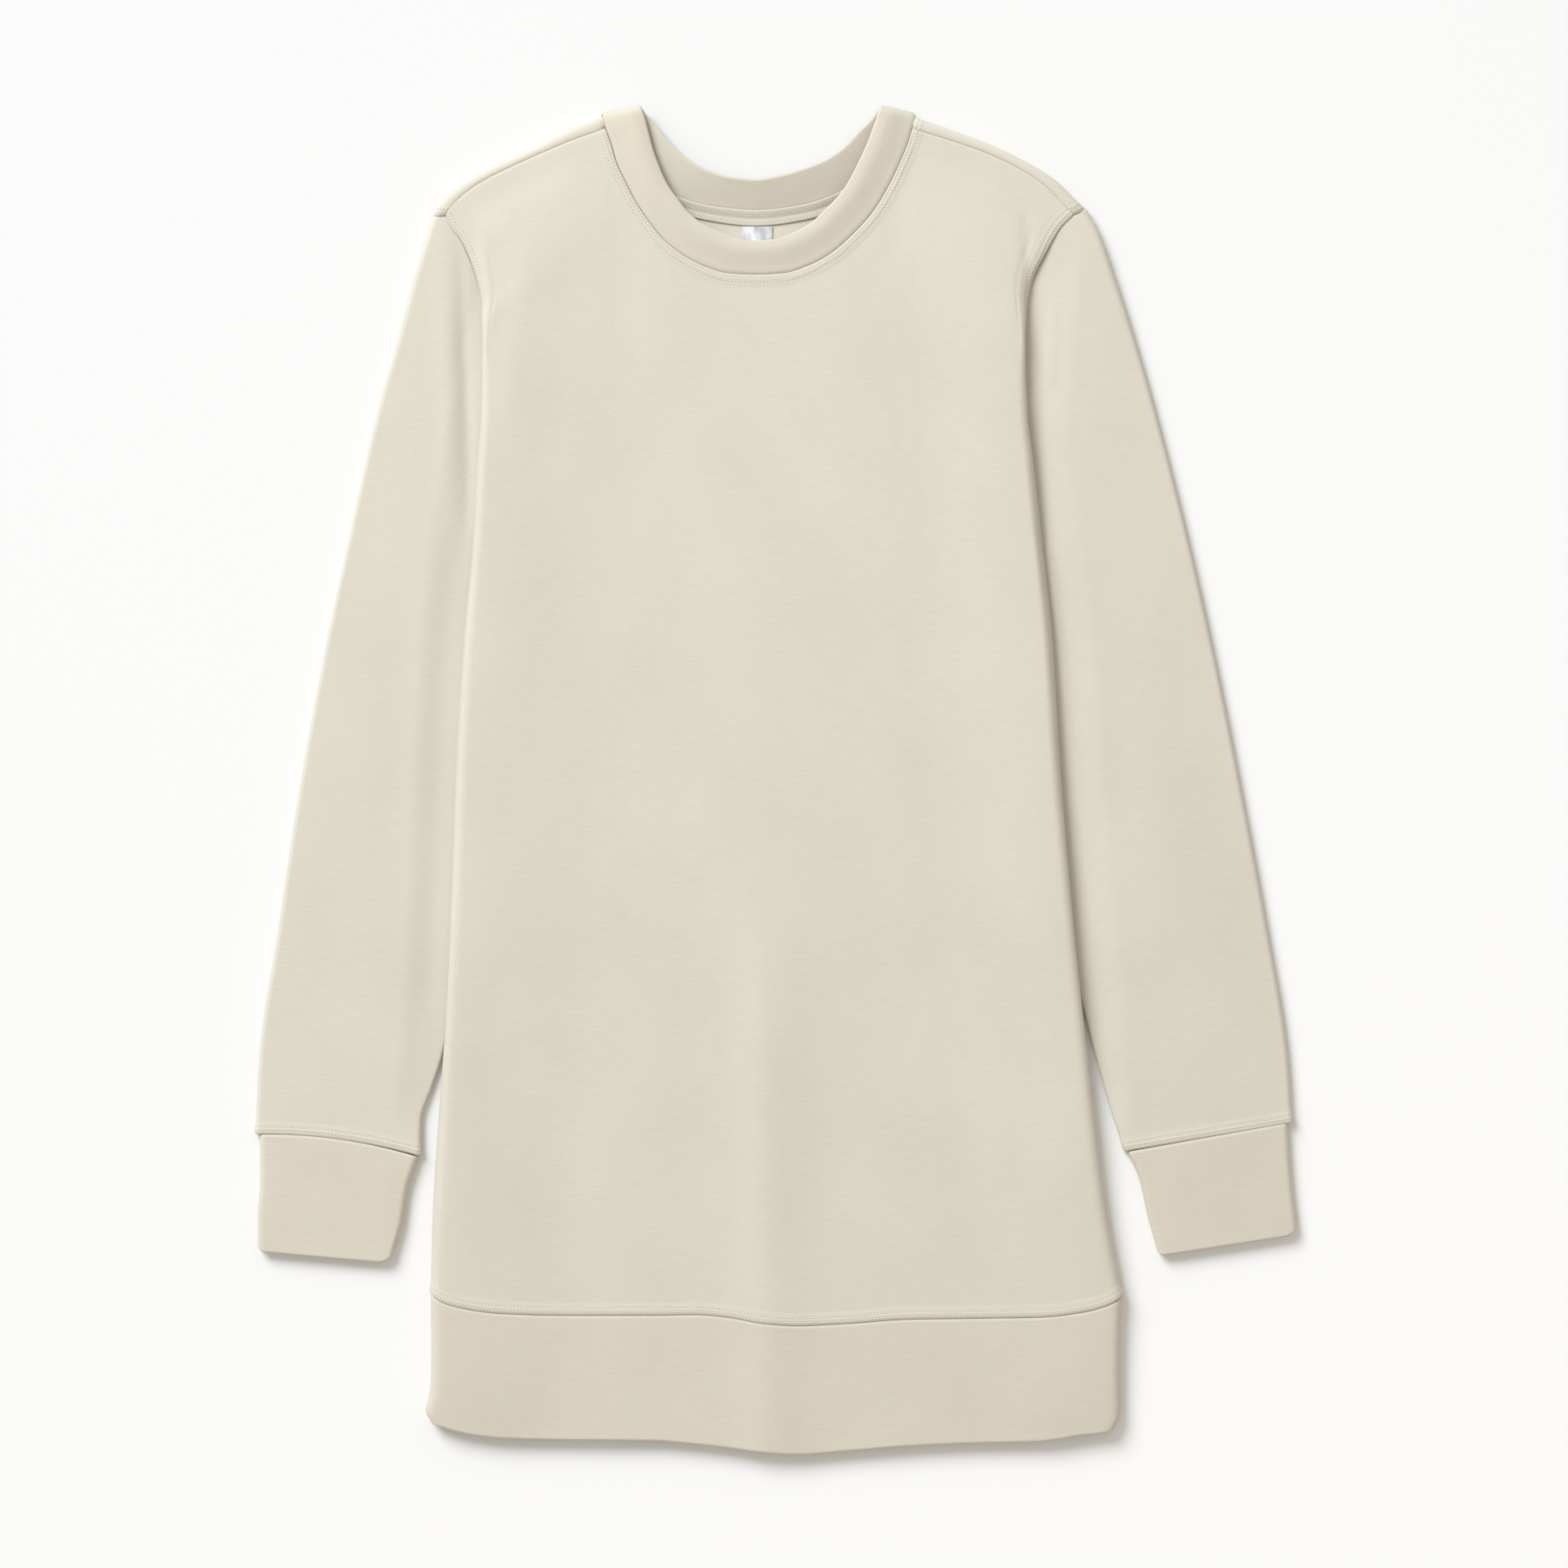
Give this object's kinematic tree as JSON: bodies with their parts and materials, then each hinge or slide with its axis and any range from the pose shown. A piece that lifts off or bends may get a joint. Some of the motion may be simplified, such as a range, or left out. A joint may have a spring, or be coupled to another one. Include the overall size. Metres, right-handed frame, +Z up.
{
  "type": "sweatshirt",
  "caption": "Long crew-neck tunic sweatshirt in plain thick knit with long sleeves, banded neck, cuffs and hem, laid flat with its sides tucked under.",
  "frame": {"origin": "on the surface that the garment lies on, under the middle of its overall outline", "axes": "+X to the viewer's right, +Y from the hem towards the neck, +Z up from the surface, through the back panel to the front panel"},
  "size_m": [0.6431, 0.8294, 0.0146],
  "materials": {
    "body_knit": "smooth thick double knit, matt",
    "band_knit": "the same knit, doubled, matt",
    "tape_knit": "matt",
    "label_satin": "woven satin, soft sheen",
    "thread": "spun sewing thread"
  },
  "bodies": {
    "root": {"front_panel": "body_knit", "back_panel": "body_knit", "sleeve_left": "body_knit", "sleeve_right": "body_knit", "hem_band_front": "band_knit", "hem_band_back": "band_knit", "cuff_left": "band_knit", "cuff_right": "band_knit", "neckband": "band_knit", "back_neck_tape": "tape_knit", "label": "label_satin"}
  },
  "joints": []
}
